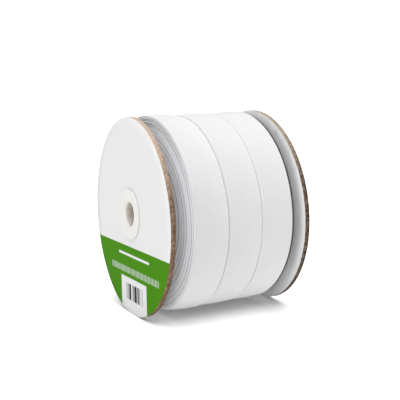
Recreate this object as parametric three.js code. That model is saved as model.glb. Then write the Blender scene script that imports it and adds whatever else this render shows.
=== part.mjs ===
// A roll of knitted elastic on a spool: one tape wound in three columns side by side,
// between two round card discs that turn on a plastic hub of two flanged halves.
// Millimetres, +Z up. The spool's axis lies along X, with its front disc towards -X,
// and the roll stands on the flat spots of its discs at Z = 0.
import * as THREE from 'three';

// Card discs
const DISC_DIAMETER = 108;
const DISC_THICKNESS = 2.6;
const DISC_EDGE_BEVEL = 0.25;
const DISCS_APART = 74;
const FLAT_SPOT_WIDTH = 12;

// Plastic hub, whose axis lies a little above the middle of the discs
const HUB_RISE = 1.8;
const BORE_DIAMETER = 12.8;
const SLEEVE_DIAMETER = 16.4;
const FLANGE_DIAMETER = 27.6;
const FLANGE_THICKNESS = 0.5;
const FLANGE_EDGE_ROUND = 0.25;
const BORE_LIP_ROUND = 1.4;

// Wound elastic, from the front disc to the back one: the width and outer radius of
// each column, and how far its outer layers have sunk below the hub's axis
const COLUMNS = [
  { width: 18.8, radius: 52.9, sink: 0.9 },
  { width: 18.8, radius: 52.8, sink: 1.2 },
  { width: 18.3, radius: 52.8, sink: 0.9 },
];
const SEAM_GAP = 0.25;
const SHOULDER_ROUND = 0.7;

// The columns stand askew to the discs: their shift along the spool for each millimetre across it
const ASKEW = -0.04;

// Clearance between pieces that touch
const CLEARANCE = 0.3;

// Fineness of the round shapes
const DISC_ARC_STEPS = 36;
const WOUND_SEGMENTS = 72;
const HUB_SEGMENTS = 48;
const SHOULDER_STEPS = 4;
const LIP_STEPS = 3;

// Sizes that follow from those above
const DISC_RADIUS = DISC_DIAMETER / 2;
const DISC_INNER_FACE = DISCS_APART / 2;
const DISC_OUTER_FACE = DISC_INNER_FACE + DISC_THICKNESS;
const FLAT_SPOT_ANGLE = Math.asin(FLAT_SPOT_WIDTH / 2 / DISC_RADIUS);
const DISC_CENTRE_HEIGHT = DISC_RADIUS * Math.cos(FLAT_SPOT_ANGLE);
const BORE_RADIUS = BORE_DIAMETER / 2;
const SLEEVE_RADIUS = SLEEVE_DIAMETER / 2;
const FLANGE_RADIUS = FLANGE_DIAMETER / 2;
const SEAT_RADIUS = SLEEVE_RADIUS + CLEARANCE;
const WOUND_WIDTH = COLUMNS.reduce((sum, column) => sum + column.width, SEAM_GAP * (COLUMNS.length - 1));

const CARD = new THREE.MeshStandardMaterial({ color: 0xe9e9ea, roughness: 0.75, metalness: 0 });
const PLASTIC = new THREE.MeshStandardMaterial({ color: 0xe6e3da, roughness: 0.45, metalness: 0 });
const KNIT = new THREE.MeshStandardMaterial({ color: 0xf2f2f3, roughness: 0.95, metalness: 0 });

function namedMesh(name, geometry, material) {
  const mesh = new THREE.Mesh(geometry, material);
  mesh.name = name;
  return mesh;
}

// Points of a quarter circle in a section drawn as (distance from the axis, place along it)
function quarterArc(centreRadius, centreAlong, round, startAngle, endAngle, steps) {
  return Array.from({ length: steps + 1 }, (_, step) => {
    const angle = startAngle + ((endAngle - startAngle) * step) / steps;
    return new THREE.Vector2(
      centreRadius + round * Math.cos(angle),
      centreAlong + round * Math.sin(angle),
    );
  });
}

// A closed section turned about the X axis
function turned(section, segments) {
  return new THREE.LatheGeometry([...section, section[0].clone()], segments).rotateZ(-Math.PI / 2);
}

// Round card with a flat spot at its foot and a hole for the hub's sleeve
function discGeometry() {
  const outline = new THREE.Shape();
  const foot = -Math.PI / 2;
  outline.absarc(0, 0, DISC_RADIUS, foot + FLAT_SPOT_ANGLE, foot + 2 * Math.PI - FLAT_SPOT_ANGLE);
  outline.closePath();
  const hole = new THREE.Path();
  hole.absarc(0, HUB_RISE, SEAT_RADIUS, 0, 2 * Math.PI, true);
  outline.holes.push(hole);
  const card = new THREE.ExtrudeGeometry(outline, {
    depth: DISC_THICKNESS - 2 * DISC_EDGE_BEVEL,
    bevelThickness: DISC_EDGE_BEVEL,
    bevelSize: DISC_EDGE_BEVEL,
    bevelOffset: -DISC_EDGE_BEVEL,
    bevelSegments: 1,
    curveSegments: DISC_ARC_STEPS,
  });
  return card.translate(0, 0, DISC_EDGE_BEVEL).rotateY(Math.PI / 2).rotateX(Math.PI / 2);
}

// Half of the hub: a flange outside the front disc and a sleeve that reaches the middle
function hubGeometry() {
  const face = -DISC_OUTER_FACE - CLEARANCE - FLANGE_THICKNESS;
  const flangeBack = face + FLANGE_THICKNESS;
  const sleeveEnd = -CLEARANCE / 2;
  const flangeEdge = quarterArc(
    FLANGE_RADIUS - FLANGE_EDGE_ROUND, face + FLANGE_EDGE_ROUND, FLANGE_EDGE_ROUND,
    -Math.PI / 2, 0, LIP_STEPS,
  );
  const boreLip = quarterArc(
    BORE_RADIUS + BORE_LIP_ROUND, face + BORE_LIP_ROUND, BORE_LIP_ROUND,
    -Math.PI, -Math.PI / 2, LIP_STEPS,
  );
  const section = [
    ...flangeEdge,
    new THREE.Vector2(FLANGE_RADIUS, flangeBack),
    new THREE.Vector2(SLEEVE_RADIUS, flangeBack),
    new THREE.Vector2(SLEEVE_RADIUS, sleeveEnd),
    new THREE.Vector2(BORE_RADIUS, sleeveEnd),
    ...boreLip,
  ];
  return turned(section, HUB_SEGMENTS);
}

// Outer section of one column of tape, flat on top with two round shoulders
function columnSection(column, start) {
  const inner = column.radius - SHOULDER_ROUND;
  const nearShoulder = start + SHOULDER_ROUND;
  const farShoulder = start + column.width - SHOULDER_ROUND;
  return [
    ...quarterArc(inner, nearShoulder, SHOULDER_ROUND, -Math.PI / 2, 0, SHOULDER_STEPS),
    ...quarterArc(inner, farShoulder, SHOULDER_ROUND, 0, Math.PI / 2, SHOULDER_STEPS),
  ];
}

// The three columns as one wound form around the hub, with a groove at each seam.
// Each column's outer turns have sunk a little and stand askew, as uneven as in a real roll.
function elasticGeometry() {
  const section = [];
  const sinks = [];
  const start = -WOUND_WIDTH / 2;
  let along = start;
  for (const column of COLUMNS) {
    const points = columnSection(column, along);
    section.push(...points);
    sinks.push(...points.map(() => column.sink));
    along += column.width + SEAM_GAP;
  }
  section.push(new THREE.Vector2(SEAT_RADIUS, -start), new THREE.Vector2(SEAT_RADIUS, start));
  sinks.push(0, 0);
  const geometry = turned(section, WOUND_SEGMENTS);
  const position = geometry.getAttribute('position');
  const pointsInSection = section.length + 1;
  for (let index = 0; index < position.count; index += 1) {
    const place = (index % pointsInSection) % section.length;
    position.setX(index, position.getX(index) + ASKEW * position.getY(index));
    position.setZ(index, position.getZ(index) - sinks[place]);
  }
  return geometry;
}

function disc(name, nearFace) {
  const mesh = namedMesh(name, discGeometry(), CARD);
  mesh.position.x = nearFace;
  return mesh;
}

function hubHalf(name, turn) {
  const mesh = namedMesh(name, hubGeometry(), PLASTIC);
  mesh.rotation.z = turn;
  return mesh;
}

// What is centred on the hub's axis
const wound = new THREE.Group();
wound.position.z = HUB_RISE;
wound.add(
  namedMesh('elastic', elasticGeometry(), KNIT),
  hubHalf('hub_front', 0),
  hubHalf('hub_back', Math.PI),
);

const roll = new THREE.Group();
roll.position.z = DISC_CENTRE_HEIGHT;
roll.add(disc('disc_front', -DISC_OUTER_FACE), disc('disc_back', DISC_INNER_FACE), wound);

export default roll;
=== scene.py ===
"""Looks of a roll of knitted elastic on a card spool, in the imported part's frame, in metres."""

import math
from typing import NamedTuple

import bpy
import numpy as np
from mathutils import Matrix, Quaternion, Vector


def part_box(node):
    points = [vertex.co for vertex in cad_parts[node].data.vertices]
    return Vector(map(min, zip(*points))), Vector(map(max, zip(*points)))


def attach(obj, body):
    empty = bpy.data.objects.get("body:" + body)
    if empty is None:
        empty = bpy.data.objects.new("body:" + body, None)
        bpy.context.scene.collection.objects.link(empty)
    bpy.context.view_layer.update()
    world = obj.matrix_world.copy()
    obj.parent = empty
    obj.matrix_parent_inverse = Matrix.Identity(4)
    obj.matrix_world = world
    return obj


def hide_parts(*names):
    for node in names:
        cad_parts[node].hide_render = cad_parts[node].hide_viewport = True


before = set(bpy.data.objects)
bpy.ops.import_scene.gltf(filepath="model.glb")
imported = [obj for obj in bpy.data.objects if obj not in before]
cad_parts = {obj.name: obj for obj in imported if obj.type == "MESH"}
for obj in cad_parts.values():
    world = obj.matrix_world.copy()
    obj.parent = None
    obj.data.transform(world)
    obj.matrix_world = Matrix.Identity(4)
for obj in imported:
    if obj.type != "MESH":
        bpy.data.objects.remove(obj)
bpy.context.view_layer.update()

MM = 0.001
SEED = 7
WHITE = (1.0, 1.0, 1.0, 1.0)

# Places taken from the frame
DISC_FRONT_LOW, DISC_FRONT_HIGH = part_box("disc_front")
DISC_BACK_LOW, DISC_BACK_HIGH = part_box("disc_back")
ELASTIC_LOW, ELASTIC_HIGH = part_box("elastic")
HUB_LOW, HUB_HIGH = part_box("hub_front")
_, HUB_BACK_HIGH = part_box("hub_back")
HUB_AXIS = (HUB_LOW.z + HUB_HIGH.z) / 2

# Card discs
DISC_RADIUS = 54 * MM
DISC_CENTRE = DISC_FRONT_HIGH.z - DISC_RADIUS
DISC_HOLE_RADIUS = 8.5 * MM
DISC_SEGMENTS = 360
DISC_LEAN = 0.02
CARD_FACE_RINGS = 9
CARD_EDGE_POINTS = 11
CARD_EDGE_ROUND = 0.15 * MM
CARD_EDGE_ROUGH = 0.09 * MM
CARD_WARP = 0.12 * MM
WARP_ORDERS = (2, 4)
SMALLEST_COSINE = 1e-6

# Cut edge of the card: dark and pale colours, and heights between which a painted highlight from the
# overhead light grows
FRONT_EDGE = {
    "dark": (0.098, 0.051, 0.024, 1.0),
    "pale": (0.38, 0.295, 0.23, 1.0),
    "highlight_heights": (63 * MM, 104 * MM),
}
BACK_EDGE = {
    "dark": (0.033, 0.018, 0.010, 1.0),
    "pale": (0.29, 0.23, 0.18, 1.0),
    "highlight_heights": (70 * MM, 110 * MM),
}
EDGE_STREAKS_ROUND = 170.0
EDGE_STREAKS_DEEP = 6.0
EDGE_STREAK_DETAIL = 3.0
EDGE_FIBRE_SCALE = 700.0
EDGE_FIBRE_DETAIL = 5.0
EDGE_GRAIN = 1.4
EDGE_SHADE = 0.25
EDGE_ROUGHNESS = 0.9
EDGE_SPECULAR = 0.15
EDGE_BUMP = {"distance": 0.15 * MM, "strength": 0.8}

# White paper on the card
PAPER_DARK = (0.602, 0.602, 0.602, 1.0)
PAPER_PALE = (0.64, 0.64, 0.64, 1.0)
PAPER_FIBRE_SCALE = 900.0
PAPER_FIBRE_DETAIL = 4.0
PAPER_ROUGHNESS = 0.7
PAPER_SPECULAR = 0.02
PAPER_BUMP = {"distance": 0.01 * MM, "strength": 0.4}

# Print on the front disc: the left, right, foot and top of each mark, from the disc's centre
PRINT_TOP = -16.4 * MM
PANEL = (-16.5 * MM, 20.2 * MM, -DISC_RADIUS, -34.0 * MM)
BARS = (-9.5 * MM, 14.3 * MM, -46.3 * MM, -37.3 * MM)
TICKS = (-31.4 * MM, 38.0 * MM, -31.8 * MM, -28.2 * MM)
RULE = (-19.0 * MM, 24.6 * MM, -22.0 * MM, -20.6 * MM)
BAR_STEP = 0.55 * MM
BAR_GAP_CHANCE = 0.45
TICK_STEP = 1.9 * MM
TICK_SHARE = 0.35
PRINT_GREEN = (0.052, 0.2, 0.0045, 1.0)
PRINT_BLACK = (0.03, 0.03, 0.035, 1.0)

# Plastic hub
BORE_RADIUS = 6.4 * MM
SLEEVE_RADIUS = 8.2 * MM
FLANGE_RADIUS = (HUB_HIGH.z - HUB_LOW.z) / 2
FLANGE_EDGE_ROUND = 0.3 * MM
FLANGE_EDGE_ANGLES = (-90, 0)
FLANGE_EDGE_POINTS = 7
BORE_LIP_ROUND = 1.4 * MM
BORE_LIP_ANGLES = (-180, -90)
BORE_LIP_POINTS = 8
HUB_SEGMENTS = 160
HUB_PALE = (0.605, 0.597, 0.573, 1.0)
# painted shade inside the bore: the colour it darkens to, and the depth over which it does
BORE_SHADE = (0.44, 0.37, 0.29, 1.0)
BORE_SHADE_DEPTH = 7.0 * MM
HUB_GRAIN_SCALE = 1500.0
HUB_GRAIN_TONE = 0.1
HUB_ROUGHNESS = 0.42
HUB_SPECULAR = 0.45
HUB_BUMP = {"distance": 0.01 * MM, "strength": 0.3}

# Wound elastic, from front to back: each column's width, outer radius at its edges, crown in its
# middle, gap to the next one, and how far its outer layers have sunk at its front and back edges
COLUMNS = (
    {
        "width": 18.8 * MM,
        "radius": 52.85 * MM,
        "crown": 0.7 * MM,
        "gap": 0.36 * MM,
        "sinks": (0.45 * MM, 1.5 * MM),
    },
    {
        "width": 18.8 * MM,
        "radius": 52.7 * MM,
        "crown": 0.45 * MM,
        "gap": 0.14 * MM,
        "sinks": (1.1 * MM, 1.0 * MM),
    },
    {
        "width": 18.0 * MM,
        "radius": 52.65 * MM,
        "crown": 0.2 * MM,
        "gap": 0.0,
        "sinks": (1.0 * MM, 0.8 * MM),
    },
)
SEAM_GAP = 0.25 * MM
WOUND_WIDTH = 56.4 * MM
WOUND_MIDDLE = (ELASTIC_LOW.x + ELASTIC_HIGH.x) / 2
WOUND_SEGMENTS = 320
ASKEW = -0.04
TAPE_THICKNESS = 1.08 * MM
TAPE_SEAT_RADIUS = 8.5 * MM
EDGE_WANDER = 0.12 * MM
EDGE_ORDERS = (2, 7)
SURFACE_LUMPS = 0.10 * MM
LUMP_ORDERS = (3, 9)

# Ribbed top of a column and its round shoulders
RIBS = 11
RIB_POINTS = 6
RIB_DEPTH = 0.03 * MM
RIB_ROUNDNESS = 0.6
HALF_RIB = 0.5
SHOULDER_ROUND = 0.45 * MM
SHOULDER_POINTS = 6
SHOULDER_ANGLES = (-90, -15)

# Edges of the layers at a free side: places across a layer's thickness, and depths in its groove
FINE_LAYERS = 22
FINE_EDGE = ((0.0, 1.0), (0.16, 0.35), (0.34, 0.05), (0.5, 0.0), (0.66, 0.05), (0.84, 0.35))
COARSE_EDGE = ((0.0, 1.0), (0.35, 0.1), (0.65, 0.1))
LAYER_GROOVE = 0.25 * MM
FIRST_GROOVE = 0.3
FLUSH_LAYERS = 3
LAYER_GROUP = (2, 5)
GROUP_RECESS = 0.5 * MM
GROUP_WANDER = 0.08 * MM
GROUP_ORDERS = (1, 4)
LAYER_RECESS = 0.2 * MM

# Painted shadow: a thin dark lip along the back edge of the winding
SHADOW_LINE_WIDTH = 1.1 * MM
SHADOW_LINE_DEPTH = 0.6 * MM
SHADOW_LINE_START = 0.03 * MM
SHADOW_LINE_COLOUR = (0.06, 0.06, 0.065, 1.0)

# Knit of the elastic
CLOTH_ROUGHNESS = 0.95
CLOTH_SPECULAR = 0.2
CLOTH_SHEEN = 1.0
CLOTH_SHEEN_ROUGHNESS = 0.8
# knit colours: darker in the painted shade of the grooves and in random clouds, paler on the ribs and
# stitches
KNIT_DARK = (0.283, 0.282, 0.294, 1.0)
KNIT_PALE = (0.353, 0.352, 0.364, 1.0)
STITCHES_PER_TURN = 300
STITCH_SLANT = 0.9
STITCH_ROUNDNESS = 0.7
KNIT_CLOUD_SCALE = 90.0
KNIT_CLOUD_DETAIL = 3.0
KNIT_CLOUD_TONE = 0.25
KNIT_BUMP = {"distance": 0.12 * MM, "strength": 0.4}

# Tones of the layers' edges, which lie in bands of a few layers, with painted shade in the gaps between
# layers and between bands
LAYER_DARK = (0.02, 0.02, 0.03, 1.0)
LAYER_PALE = (0.66, 0.655, 0.69, 1.0)
LAYER_TONE = 0.2
LAYER_GAP_SHADE = 0.2
LAYER_GAP_SHADE_RAMP = (0.05, 0.75)
BAND_LAYERS = 2.7
BAND_UNEVEN = 0.8
BAND_GAP_SHADE = 0.9
BAND_GAP_SHADE_RAMP = (0.05, 0.35)
LAYER_STITCH_TONE = 0.2
LAYER_STITCH_RELIEF = 0.4
LAYER_BUMP = {"distance": 0.15 * MM, "strength": 0.8}
PLAIN_SIDE_TONE = 0.12

# Camera at the photograph's viewing angle
CAMERA_AZIMUTH = math.radians(-25.71)
CAMERA_ELEVATION = math.radians(7.74)
CAMERA_ROLL = math.radians(-2.17)
CAMERA_TARGET = Vector((2.46, 0.0, 59.2)) * MM
CAMERA_DISTANCE = 467.7 * MM
CAMERA_LENS = 75.25
CAMERA_SENSOR = 36.0

# Studio light and floor
HORIZON_LIGHT = 1.03
SKY_LIGHT = 0.12
HORIZON_BAND = (0.118, 0.148)
TOP_LIGHT = {"strength": 4.75, "spread": math.radians(76), "way": (0.05, 0.2, -1.0)}
FRONT_LIGHT = {"strength": 0.61, "spread": math.radians(12), "way": (0.58, 0.80, -0.1)}
FLOOR_SIZE = 8.0
FLOOR_COLOUR = (0.95, 0.95, 0.95, 1.0)
FLOOR_ROUGHNESS = 0.8
FLOOR_SPECULAR = 0.1
FLOOR_GLOW = 0.09

# Places of the materials on the discs and on the elastic
FRONT_FACE_SLOT, CUT_EDGE_SLOT, BACK_FACE_SLOT = 0, 1, 2
KNIT_SLOT, LAYER_SLOT, SHADOW_LINE_SLOT = 0, 1, 2

# Steps round the turn and along the section to the four corners of a ring's face
FACE_CORNERS = ((0, 0), (0, 1), (1, 1), (1, 0))

# Places of the colour sockets on a Mix node
MIX_FACTOR, MIX_FIRST, MIX_SECOND = 0, 6, 7
MIX_RESULT = 2

# Range of the weights of the waves in an uneven line
WAVE_WEIGHTS = (0.4, 1.0)

rng = np.random.default_rng(SEED)


# Mesh helpers

def wave(angles, size, orders):
    """A smooth uneven line round a full turn, at most size high, made of waves of the given orders."""
    first, last = orders
    line = np.zeros_like(angles)
    for order in range(first, last + 1):
        start = rng.uniform(0, 2 * np.pi)
        line += np.cos(order * angles + start) * rng.uniform(*WAVE_WEIGHTS) / order
    return size * line / np.abs(line).max()


def turn_angles(segments):
    return np.arange(segments) * 2 * np.pi / segments


def arch(share):
    """0 at both ends of the share and 1 in its middle."""
    return 1 - (2 * share - 1) ** 2


def arc(centre_along, centre_radius, size, start, end, points):
    """Points of an arc in a section, as places along the axis and distances from it."""
    angles = np.radians(np.linspace(start, end, points))
    return centre_along + size * np.sin(angles), centre_radius + size * np.cos(angles)


def ring_places(along, radius, axis_height, askew, lean):
    """Points of a ring about the X axis, shifted along it for their place across the roll and height."""
    angles = turn_angles(len(along))[:, None]
    side = radius * np.sin(angles)
    height = axis_height + radius * np.cos(angles)
    shifted = along + askew * side + lean * (height - DISC_CENTRE)
    return np.stack([shifted, side, height], axis=-1).reshape(-1, 3)


def ring_faces(segments, points):
    """Numbers of the points at the corners of a closed ring's faces."""
    turn, point = np.meshgrid(np.arange(segments), np.arange(points), indexing="ij")
    corners = [
        (turn + turn_step) % segments * points + (point + point_step) % points
        for turn_step, point_step in FACE_CORNERS
    ]
    return np.stack(corners, axis=-1).reshape(-1, 4)


def ring_texture(segments, across):
    """Texture places of a closed ring's face corners: the turn, and the place across the section."""
    turn, point = np.meshgrid(np.arange(segments), np.arange(len(across)), indexing="ij")
    closed = np.append(across, across[0])
    corners = [
        np.stack([(turn + turn_step) / segments, closed[point + point_step]], axis=-1)
        for turn_step, point_step in FACE_CORNERS
    ]
    return np.stack(corners, axis=2).ravel()


def ring(name, along, radius, axis_height, across, slots, materials, askew=0.0, lean=0.0):
    """A closed ring about the X axis, with a row of section points for each angle of the turn.

    across gives each section point's place in the texture and slots its material.
    """
    segments, points = along.shape
    faces = ring_faces(segments, points)
    mesh = bpy.data.meshes.new(name)
    mesh.from_pydata(ring_places(along, radius, axis_height, askew, lean).tolist(), [], faces.tolist())
    mesh.uv_layers.new(name="tape").data.foreach_set("uv", ring_texture(segments, across))
    mesh.polygons.foreach_set("use_smooth", np.ones(len(faces), bool))
    mesh.polygons.foreach_set("material_index", np.tile(slots, segments).astype(np.int32))
    for material in materials:
        mesh.materials.append(material)
    mesh.update()
    piece = bpy.data.objects.new(name, mesh)
    bpy.context.scene.collection.objects.link(piece)
    return piece


# Material helpers

def new_material(name):
    material = bpy.data.materials.new(name)
    material.use_nodes = True
    return material, material.node_tree, material.node_tree.nodes["Principled BSDF"]


def feed(tree, value, target):
    """Links a socket to the target, or sets a number or a colour on it."""
    if isinstance(value, bpy.types.NodeSocket):
        tree.links.new(value, target)
    else:
        target.default_value = value


def calc(tree, operation, *values):
    """A Math node; each value is a socket or a number."""
    node = tree.nodes.new("ShaderNodeMath")
    node.operation = operation
    for place, value in enumerate(values):
        feed(tree, value, node.inputs[place])
    return node.outputs[0]


def product(tree, first, *others):
    """All the values multiplied."""
    result = first
    for value in others:
        result = calc(tree, "MULTIPLY", result, value)
    return result


def dip(tree, value, depth):
    """1 where value is 1, and less by depth where it is 0."""
    return calc(tree, "MULTIPLY_ADD", value, depth, 1 - depth)


def hump(tree, value):
    """A row of round humps, one for each whole step of value."""
    return calc(tree, "ABSOLUTE", calc(tree, "SINE", calc(tree, "MULTIPLY", value, math.pi)))


def inside(tree, value, low, high):
    """1 where value lies between low and high."""
    return product(tree, calc(tree, "GREATER_THAN", value, low), calc(tree, "LESS_THAN", value, high))


def patch(tree, right, up, mark):
    """1 within a mark, which is given by its left, right, foot and top."""
    left_end, right_end, foot, top = mark
    return product(tree, inside(tree, right, left_end, right_end), inside(tree, up, foot, top))


def ramp(tree, value, low, high, start=0.0, end=1.0):
    """start at low and end at high, and straight between them."""
    node = tree.nodes.new("ShaderNodeMapRange")
    node.inputs["From Min"].default_value = low
    node.inputs["From Max"].default_value = high
    node.inputs["To Min"].default_value = start
    node.inputs["To Max"].default_value = end
    feed(tree, value, node.inputs["Value"])
    return node.outputs[0]


def noise(tree, vector, scale=1.0, detail=2.0):
    node = tree.nodes.new("ShaderNodeTexNoise")
    node.inputs["Scale"].default_value = scale
    node.inputs["Detail"].default_value = detail
    feed(tree, vector, node.inputs["Vector"])
    return node.outputs["Fac"]


def chance(tree, value):
    """A random share for each value."""
    node = tree.nodes.new("ShaderNodeTexWhiteNoise")
    node.noise_dimensions = "1D"
    feed(tree, value, node.inputs["W"])
    return node.outputs["Value"]


def blend_colour(tree, factor, first, second):
    """Mixes two colours, each a socket or a value."""
    node = tree.nodes.new("ShaderNodeMix")
    node.data_type = "RGBA"
    feed(tree, factor, node.inputs[MIX_FACTOR])
    feed(tree, first, node.inputs[MIX_FIRST])
    feed(tree, second, node.inputs[MIX_SECOND])
    return node.outputs[MIX_RESULT]


def split(tree, vector):
    """The three parts of a vector."""
    node = tree.nodes.new("ShaderNodeSeparateXYZ")
    feed(tree, vector, node.inputs[0])
    return node.outputs


def object_place(tree):
    return tree.nodes.new("ShaderNodeTexCoord").outputs["Object"]


def tape_place(tree):
    """Turn round the roll and place across the section."""
    node = tree.nodes.new("ShaderNodeUVMap")
    node.uv_map = "tape"
    turn, across, _ = split(tree, node.outputs[0])
    return turn, across


def bump(tree, shader, height, distance, strength):
    node = tree.nodes.new("ShaderNodeBump")
    node.inputs["Strength"].default_value = strength
    node.inputs["Distance"].default_value = distance
    feed(tree, height, node.inputs["Height"])
    feed(tree, node.outputs[0], shader.inputs["Normal"])


def set_gloss(shader, roughness, specular):
    shader.inputs["Roughness"].default_value = roughness
    shader.inputs["Specular IOR Level"].default_value = specular


def set_cloth(shader):
    set_gloss(shader, CLOTH_ROUGHNESS, CLOTH_SPECULAR)
    shader.inputs["Sheen Weight"].default_value = CLOTH_SHEEN
    shader.inputs["Sheen Roughness"].default_value = CLOTH_SHEEN_ROUGHNESS


# Materials

def knit_material():
    """Outside of the tape: ribs along it, with slanted stitches across each rib, and painted shade that
    darkens the grooves between ribs and stitches.
    """
    material, tree, shader = new_material("knit_white")
    turn, across = tape_place(tree)
    rib = calc(tree, "POWER", hump(tree, across), RIB_ROUNDNESS)
    from_middle = calc(tree, "PINGPONG", across, HALF_RIB)
    stitches = calc(tree, "MULTIPLY", turn, STITCHES_PER_TURN)
    slanted = calc(tree, "MULTIPLY_ADD", from_middle, STITCH_SLANT, stitches)
    stitch = calc(tree, "POWER", hump(tree, slanted), STITCH_ROUNDNESS)
    height = product(tree, rib, stitch)
    cloud = noise(tree, object_place(tree), KNIT_CLOUD_SCALE, KNIT_CLOUD_DETAIL)
    # painted shade: the colour is darker in the grooves between ribs and stitches
    groove_shade = calc(tree, "MULTIPLY", height, 1 - KNIT_CLOUD_TONE)
    shade = calc(tree, "MULTIPLY_ADD", cloud, KNIT_CLOUD_TONE, groove_shade)
    feed(tree, blend_colour(tree, shade, KNIT_DARK, KNIT_PALE), shader.inputs["Base Color"])
    set_cloth(shader)
    bump(tree, shader, height, **KNIT_BUMP)
    return material


def layer_material():
    """Edges of the wound layers: pale beads of stitches, in bands of a few layers, with painted shade in the
    gaps between layers and between bands.
    """
    material, tree, shader = new_material("knit_edge")
    turn, layer = tape_place(tree)
    stitch = hump(tree, calc(tree, "MULTIPLY", turn, STITCHES_PER_TURN))
    bead = hump(tree, layer)
    band = calc(tree, "MULTIPLY_ADD", layer, 1 / BAND_LAYERS, noise(tree, layer, BAND_UNEVEN))
    band_tone = dip(tree, chance(tree, calc(tree, "FLOOR", band)), LAYER_TONE)
    stitch_tone = dip(tree, stitch, LAYER_STITCH_TONE)
    # painted shade: darker in the gaps between layers and between bands
    layer_gap_shade = dip(tree, ramp(tree, bead, *LAYER_GAP_SHADE_RAMP), LAYER_GAP_SHADE)
    band_gap_shade = dip(tree, ramp(tree, hump(tree, band), *BAND_GAP_SHADE_RAMP), BAND_GAP_SHADE)
    shade = product(tree, layer_gap_shade, band_gap_shade, band_tone, stitch_tone)
    feed(tree, blend_colour(tree, shade, LAYER_DARK, LAYER_PALE), shader.inputs["Base Color"])
    set_cloth(shader)
    height = product(tree, bead, dip(tree, stitch, LAYER_STITCH_RELIEF))
    bump(tree, shader, height, **LAYER_BUMP)
    return material


# dark colour of the painted shadow line along the back edge of the winding
def painted_shadow_line_material():
    material, _, shader = new_material("knit_painted_shadow_line")
    shader.inputs["Base Color"].default_value = SHADOW_LINE_COLOUR
    set_gloss(shader, CLOTH_ROUGHNESS, CLOTH_SPECULAR)
    return material


def paper_colour(tree, place):
    """Colour of the white paper, and its fibres."""
    fibre = noise(tree, place, PAPER_FIBRE_SCALE, PAPER_FIBRE_DETAIL)
    return blend_colour(tree, fibre, PAPER_DARK, PAPER_PALE), fibre


def set_paper(tree, shader, colour, fibre):
    feed(tree, colour, shader.inputs["Base Color"])
    set_gloss(shader, PAPER_ROUGHNESS, PAPER_SPECULAR)
    bump(tree, shader, fibre, **PAPER_BUMP)


def paper_material():
    material, tree, shader = new_material("paper_white")
    colour, fibre = paper_colour(tree, object_place(tree))
    set_paper(tree, shader, colour, fibre)
    return material


def printed_material():
    """White paper with a coloured lower segment, a white panel of plain bars, a rule and a row of ticks."""
    material, tree, shader = new_material("paper_printed")
    place = object_place(tree)
    _, inward, height = split(tree, place)
    right = calc(tree, "MULTIPLY", inward, -1.0)
    up = calc(tree, "SUBTRACT", height, DISC_CENTRE)
    paper, fibre = paper_colour(tree, place)
    colour = blend_colour(tree, calc(tree, "LESS_THAN", up, PRINT_TOP), paper, PRINT_GREEN)
    colour = blend_colour(tree, patch(tree, right, up, PANEL), colour, paper)
    bar_number = calc(tree, "FLOOR", calc(tree, "DIVIDE", right, BAR_STEP))
    bar = calc(tree, "GREATER_THAN", chance(tree, bar_number), BAR_GAP_CHANCE)
    bars = product(tree, bar, patch(tree, right, up, BARS))
    colour = blend_colour(tree, bars, colour, PRINT_BLACK)
    tick_place = calc(tree, "FRACT", calc(tree, "DIVIDE", right, TICK_STEP))
    tick = calc(tree, "LESS_THAN", tick_place, TICK_SHARE)
    ticks = product(tree, tick, patch(tree, right, up, TICKS))
    white_marks = calc(tree, "MAXIMUM", ticks, patch(tree, right, up, RULE))
    colour = blend_colour(tree, white_marks, colour, paper)
    set_paper(tree, shader, colour, fibre)
    return material


def cut_edge_material(name, dark, pale, highlight_heights):
    """Cut card: streaks of brown board, paler towards the top with a painted highlight from the overhead
    light.
    """
    material, tree, shader = new_material(name)
    place = object_place(tree)
    turn, across = tape_place(tree)
    _, _, height = split(tree, place)
    # painted highlight: paler towards the top of the disc, where the overhead light falls
    highlight = ramp(tree, height, *highlight_heights)
    streak_place = tree.nodes.new("ShaderNodeCombineXYZ")
    feed(tree, calc(tree, "MULTIPLY", turn, EDGE_STREAKS_ROUND), streak_place.inputs[0])
    feed(tree, calc(tree, "MULTIPLY", across, EDGE_STREAKS_DEEP), streak_place.inputs[1])
    streak = noise(tree, streak_place.outputs[0], detail=EDGE_STREAK_DETAIL)
    fibre = noise(tree, place, EDGE_FIBRE_SCALE, EDGE_FIBRE_DETAIL)
    grain = calc(tree, "MULTIPLY_ADD", calc(tree, "ADD", streak, fibre), EDGE_GRAIN, highlight)
    depth_shade = calc(tree, "MULTIPLY_ADD", across, EDGE_SHADE, EDGE_GRAIN - EDGE_SHADE)
    shade = calc(tree, "SUBTRACT", grain, depth_shade)
    feed(tree, blend_colour(tree, shade, dark, pale), shader.inputs["Base Color"])
    set_gloss(shader, EDGE_ROUGHNESS, EDGE_SPECULAR)
    bump(tree, shader, fibre, **EDGE_BUMP)
    return material


def plastic_material():
    """Off-white plastic, with painted shade that deepens with depth inside the bore."""
    material, tree, shader = new_material("hub_plastic")
    place = object_place(tree)
    _, in_bore = tape_place(tree)
    along, _, _ = split(tree, place)
    from_middle = calc(tree, "ABSOLUTE", along)
    # painted shade: darker with depth inside the bore
    depth = ramp(tree, from_middle, HUB_BACK_HIGH.x, HUB_BACK_HIGH.x - BORE_SHADE_DEPTH)
    grain = noise(tree, place, HUB_GRAIN_SCALE)
    shade = calc(tree, "MULTIPLY_ADD", grain, HUB_GRAIN_TONE, product(tree, depth, in_bore))
    feed(tree, blend_colour(tree, shade, HUB_PALE, BORE_SHADE), shader.inputs["Base Color"])
    set_gloss(shader, HUB_ROUGHNESS, HUB_SPECULAR)
    bump(tree, shader, grain, **HUB_BUMP)
    return material


# Columns of wound tape

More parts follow.
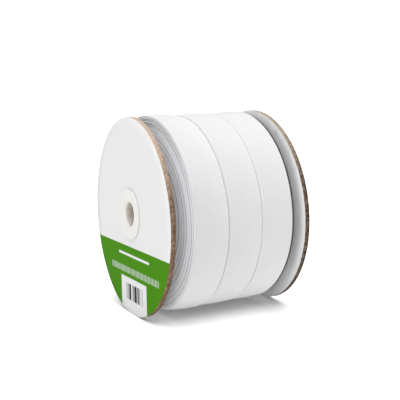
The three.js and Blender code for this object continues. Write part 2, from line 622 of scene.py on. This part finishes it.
class Strip(NamedTuple):
    """Neighbouring points of a column's section.

    along and radius place them, with a row for each angle of the turn. sink is how far they have
    sunk and texture their place in the texture, for each point or one for all. slot is their material.
    """

    along: np.ndarray
    radius: np.ndarray
    sink: np.ndarray | float
    texture: np.ndarray | float
    slot: int


def flipped(strip):
    """A strip with a sink and a texture for each point, turned to run from the inside out."""
    along, radius = strip.along[:, ::-1], strip.radius[:, ::-1]
    return Strip(along, radius, strip.sink[::-1], strip.texture[::-1], strip.slot)


def for_each_point(values, strips):
    """One row of the strips' values, with one for each of their points."""
    return np.concatenate([
        np.broadcast_to(value, strip.along.shape[1]) for value, strip in zip(values, strips)
    ])


def side_layers(layers, angles):
    """How far each layer's edge lies in from the side face, all round the turn."""
    groups = [np.zeros_like(angles)] * FLUSH_LAYERS
    while len(groups) < layers:
        group = GROUP_RECESS * rng.uniform(0, 1) + wave(angles, GROUP_WANDER, GROUP_ORDERS)
        groups += [group] * rng.integers(*LAYER_GROUP)
    recess = np.stack(groups[:layers], axis=1) + rng.uniform(0, LAYER_RECESS, layers)
    return np.maximum(recess, 0.0)


def layered_side(edge, inward, side_radius, sink, angles):
    """A free side face that shows the edges of the layers, from the outside in."""
    layers = round((side_radius.mean() - TAPE_SEAT_RADIUS) / TAPE_THICKNESS)
    recess = side_layers(layers, angles)
    points = [
        (number, *point)
        for number in range(layers)
        for point in (FINE_EDGE if number < FINE_LAYERS else COARSE_EDGE)
    ]
    layer, part, groove = np.array(points).T
    along = edge[:, None] + inward * (recess[:, layer.astype(int)] + LAYER_GROOVE * groove)
    depth = (layer + part + FIRST_GROOVE) / (layers + FIRST_GROOVE)
    radius = side_radius[:, None] + (TAPE_SEAT_RADIUS - side_radius[:, None]) * depth
    return Strip(along, radius, sink * (1 - depth), layer + part, LAYER_SLOT)


def plain_side(edge, side_radius, sink):
    """A flat side face, hidden by the next column, with one point halfway down."""
    middle = (side_radius + TAPE_SEAT_RADIUS) / 2
    return Strip(edge[:, None], middle[:, None], sink / 2, PLAIN_SIDE_TONE, LAYER_SLOT)


def painted_shadow_line(edge, side_radius, sink):
    """A thin dark lip along the back edge of the winding: a painted shadow line."""
    along = np.array([SHADOW_LINE_START, SHADOW_LINE_WIDTH, SHADOW_LINE_WIDTH])
    depth = np.array([SHADOW_LINE_START, SHADOW_LINE_START, SHADOW_LINE_DEPTH])
    return Strip(edge[:, None] + along, side_radius[:, None] - depth, sink, 0.0, SHADOW_LINE_SLOT)


def seat(edge):
    """The foot of a side face, on the hub's sleeve."""
    return Strip(edge[:, None], np.full_like(edge, TAPE_SEAT_RADIUS)[:, None], 0.0, 0.0, LAYER_SLOT)


def column_top(column, left, right, radius):
    """The outside of a column: its near shoulder, its ribbed and crowned top and its far shoulder."""
    near_sink, far_sink = column["sinks"]
    side_radius = (radius - SHOULDER_ROUND)[:, None]
    start, end = (left + SHOULDER_ROUND)[:, None], (right - SHOULDER_ROUND)[:, None]
    round_along, round_radius = arc(0, 0, SHOULDER_ROUND, *SHOULDER_ANGLES, SHOULDER_POINTS)
    near_radius, far_radius = side_radius + round_radius, side_radius + round_radius[::-1]
    across = np.linspace(0, 1, RIBS * RIB_POINTS + 1)
    rib = np.abs(np.sin(np.pi * RIBS * across)) ** RIB_ROUNDNESS
    profile = column["crown"] * arch(across) - RIB_DEPTH * (1 - rib)
    profile[[0, -1]] = 0.0
    top_along, top_radius = start + (end - start) * across, radius[:, None] + profile
    top_sink = near_sink + (far_sink - near_sink) * across
    return [
        Strip(start + round_along, near_radius, near_sink, -HALF_RIB, KNIT_SLOT),
        Strip(top_along, top_radius, top_sink, across * RIBS, KNIT_SLOT),
        Strip(end - round_along[::-1], far_radius, far_sink, RIBS + HALF_RIB, KNIT_SLOT),
    ]


def column_strips(number, column, left, right, angles):
    """All round the section of a column, which shows the layers' edges at a free side."""
    near_sink, far_sink = column["sinks"]
    radius = column["radius"] + wave(angles, SURFACE_LUMPS, LUMP_ORDERS)
    side_radius = radius - SHOULDER_ROUND
    strips = column_top(column, left, right, radius)
    if number == len(COLUMNS) - 1:
        # painted shadow line along the back edge of the winding
        strips.append(painted_shadow_line(right, side_radius, far_sink))
        strips.append(layered_side(right, -1, side_radius, far_sink, angles))
    else:
        strips.append(plain_side(right, side_radius, far_sink))
    strips += [seat(right), seat(left)]
    if number == 0:
        strips.append(flipped(layered_side(left, 1, side_radius, near_sink, angles)))
    else:
        strips.append(plain_side(left, side_radius, near_sink))
    return strips


def column_piece(name, strips, materials):
    """One column of wound tape."""
    return ring(
        name,
        np.concatenate([strip.along for strip in strips], axis=1),
        np.concatenate([strip.radius for strip in strips], axis=1),
        HUB_AXIS - for_each_point([strip.sink for strip in strips], strips),
        for_each_point([strip.texture for strip in strips], strips),
        for_each_point([strip.slot for strip in strips], strips),
        materials,
        askew=ASKEW,
    )


def elastic_pieces(materials):
    """The three columns, whose edges follow each other along the seams."""
    angles = turn_angles(WOUND_SEGMENTS)
    edges = [WOUND_MIDDLE - WOUND_WIDTH / 2 + wave(angles, EDGE_WANDER, EDGE_ORDERS)]
    for column in COLUMNS:
        step = column["width"] + (SEAM_GAP if column["gap"] else 0.0)
        edges.append(edges[-1].mean() + step + wave(angles, EDGE_WANDER, EDGE_ORDERS))
    pieces = []
    for number, column in enumerate(COLUMNS):
        strips = column_strips(number, column, edges[number], edges[number + 1] - column["gap"], angles)
        pieces.append(column_piece(f"elastic_column_{number + 1}", strips, materials))
    return pieces


# Discs and hub

def disc_outline(angles):
    """Radius of a disc round its turn, with a flat spot at the foot."""
    down = np.maximum(-np.cos(angles), SMALLEST_COSINE)
    return np.minimum(DISC_RADIUS, DISC_CENTRE / down)


def disc_hole(angles):
    """Radius of a disc's hole, which is round about the hub's axis, above the disc's centre."""
    rise = HUB_AXIS - DISC_CENTRE
    return rise * np.cos(angles) + np.sqrt(DISC_HOLE_RADIUS**2 - (rise * np.sin(angles)) ** 2)


def disc_piece(name, low, high, lean, materials):
    """Round card: two paper faces that bow inwards a little, and a rough cut edge between them."""
    angles = turn_angles(DISC_SEGMENTS)
    outer, hole = disc_outline(angles), disc_hole(angles)
    share = np.linspace(0, 1, CARD_FACE_RINGS)
    bend = np.abs(wave(angles, CARD_WARP, WARP_ORDERS)[:, None] * arch(share))
    face_radius = hole[:, None] + (outer - CARD_EDGE_ROUND - hole)[:, None] * share
    rough = rng.normal(0, CARD_EDGE_ROUGH, (DISC_SEGMENTS, CARD_EDGE_POINTS))
    edge_radius = outer[:, None] - np.abs(rough)
    edge_along = np.linspace(low.x + CARD_EDGE_ROUND, high.x - CARD_EDGE_ROUND, CARD_EDGE_POINTS)
    edge_along = np.broadcast_to(edge_along, edge_radius.shape)
    radius = np.concatenate([face_radius, edge_radius, face_radius[:, ::-1]], axis=1)
    along = np.concatenate([low.x + bend, edge_along, high.x - bend[:, ::-1]], axis=1)
    edge_share = np.linspace(0, 1, CARD_EDGE_POINTS)
    across = np.concatenate([np.zeros(CARD_FACE_RINGS), edge_share, np.ones(CARD_FACE_RINGS)])
    slots = np.repeat(
        [FRONT_FACE_SLOT, CUT_EDGE_SLOT, BACK_FACE_SLOT],
        [CARD_FACE_RINGS - 1, CARD_EDGE_POINTS + 1, CARD_FACE_RINGS],
    )
    return ring(name, along, radius, DISC_CENTRE, across, slots, materials, lean=lean)


def hub_section():
    """Section of the hub's front half: places along the axis, distances from it, and 1 in the bore."""
    face, flange_back, end = HUB_LOW.x, DISC_FRONT_LOW.x, HUB_HIGH.x
    edge_along, edge_radius = arc(
        face + FLANGE_EDGE_ROUND, FLANGE_RADIUS - FLANGE_EDGE_ROUND, FLANGE_EDGE_ROUND,
        *FLANGE_EDGE_ANGLES, FLANGE_EDGE_POINTS,
    )
    lip_along, lip_radius = arc(
        face + BORE_LIP_ROUND, BORE_RADIUS + BORE_LIP_ROUND, BORE_LIP_ROUND,
        *BORE_LIP_ANGLES, BORE_LIP_POINTS,
    )
    sleeve_along = [flange_back, flange_back, end, end]
    sleeve_radius = [FLANGE_RADIUS, SLEEVE_RADIUS, SLEEVE_RADIUS, BORE_RADIUS]
    along = np.concatenate([edge_along, sleeve_along, lip_along])
    radius = np.concatenate([edge_radius, sleeve_radius, lip_radius])
    in_bore = np.repeat([0.0, 1.0], [len(along) - BORE_LIP_POINTS - 1, BORE_LIP_POINTS + 1])
    return along, radius, in_bore


def hub_piece(name, side, material):
    """Half of the hub; side is -1 at the front and 1 at the back."""
    along, radius, in_bore = hub_section()
    if side > 0:
        along, radius, in_bore = -along[::-1], radius[::-1], in_bore[::-1]
    shape = (HUB_SEGMENTS, len(along))
    return ring(
        name,
        np.broadcast_to(along, shape),
        np.broadcast_to(radius, shape),
        HUB_AXIS,
        in_bore,
        np.zeros(len(along), int),
        [material],
        lean=-side * DISC_LEAN,
    )


def place_piece(piece, node):
    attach(piece, "root")
    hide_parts(node)


def build_roll():
    knit = [knit_material(), layer_material(), painted_shadow_line_material()]
    for piece in elastic_pieces(knit):
        place_piece(piece, "elastic")
    paper = paper_material()
    front_card = [printed_material(), cut_edge_material("card_edge_front", **FRONT_EDGE), paper]
    front = disc_piece("card_disc_front", DISC_FRONT_LOW, DISC_FRONT_HIGH, DISC_LEAN, front_card)
    place_piece(front, "disc_front")
    back_card = [paper, cut_edge_material("card_edge_back", **BACK_EDGE), paper]
    back = disc_piece("card_disc_back", DISC_BACK_LOW, DISC_BACK_HIGH, -DISC_LEAN, back_card)
    place_piece(back, "disc_back")
    plastic = plastic_material()
    place_piece(hub_piece("hub_half_front", -1, plastic), "hub_front")
    place_piece(hub_piece("hub_half_back", 1, plastic), "hub_back")


# Stage, light and camera

def build_floor():
    bpy.ops.mesh.primitive_plane_add(size=FLOOR_SIZE)
    floor = bpy.context.object
    floor.name = "floor"
    material, _, shader = new_material("floor_white")
    shader.inputs["Base Color"].default_value = FLOOR_COLOUR
    set_gloss(shader, FLOOR_ROUGHNESS, FLOOR_SPECULAR)
    shader.inputs["Emission Color"].default_value = WHITE
    shader.inputs["Emission Strength"].default_value = FLOOR_GLOW
    floor.data.materials.append(material)


def build_world():
    """White at the horizon, dimmer overhead, so that the sides of the roll are lit softly from all round."""
    world = bpy.data.worlds.new("studio")
    bpy.context.scene.world = world
    world.use_nodes = True
    tree = world.node_tree
    _, _, height = split(tree, tree.nodes.new("ShaderNodeTexCoord").outputs["Generated"])
    background = tree.nodes["Background"]
    background.inputs["Color"].default_value = WHITE
    strength = ramp(tree, height, *HORIZON_BAND, HORIZON_LIGHT, SKY_LIGHT)
    feed(tree, strength, background.inputs["Strength"])


def build_light(name, strength, spread, way):
    light = bpy.data.lights.new(name, "SUN")
    light.energy = strength
    light.angle = spread
    lamp = bpy.data.objects.new(name, light)
    lamp.rotation_euler = Vector(way).to_track_quat("-Z", "Y").to_euler()
    bpy.context.scene.collection.objects.link(lamp)


def build_camera():
    lens = bpy.data.cameras.new("camera")
    lens.lens = CAMERA_LENS
    lens.sensor_width = CAMERA_SENSOR
    camera = bpy.data.objects.new("camera", lens)
    level = math.cos(CAMERA_ELEVATION)
    back = Vector((
        math.sin(CAMERA_AZIMUTH) * level,
        -math.cos(CAMERA_AZIMUTH) * level,
        math.sin(CAMERA_ELEVATION),
    ))
    camera.location = CAMERA_TARGET + back * CAMERA_DISTANCE
    camera.rotation_mode = "QUATERNION"
    camera.rotation_quaternion = (-back).to_track_quat("-Z", "Y") @ Quaternion((0, 0, 1), CAMERA_ROLL)
    bpy.context.scene.collection.objects.link(camera)
    bpy.context.scene.camera = camera
    bpy.context.scene.view_settings.view_transform = "Standard"


build_roll()
build_floor()
build_world()
build_light("top_light", **TOP_LIGHT)
build_light("front_light", **FRONT_LIGHT)
build_camera()
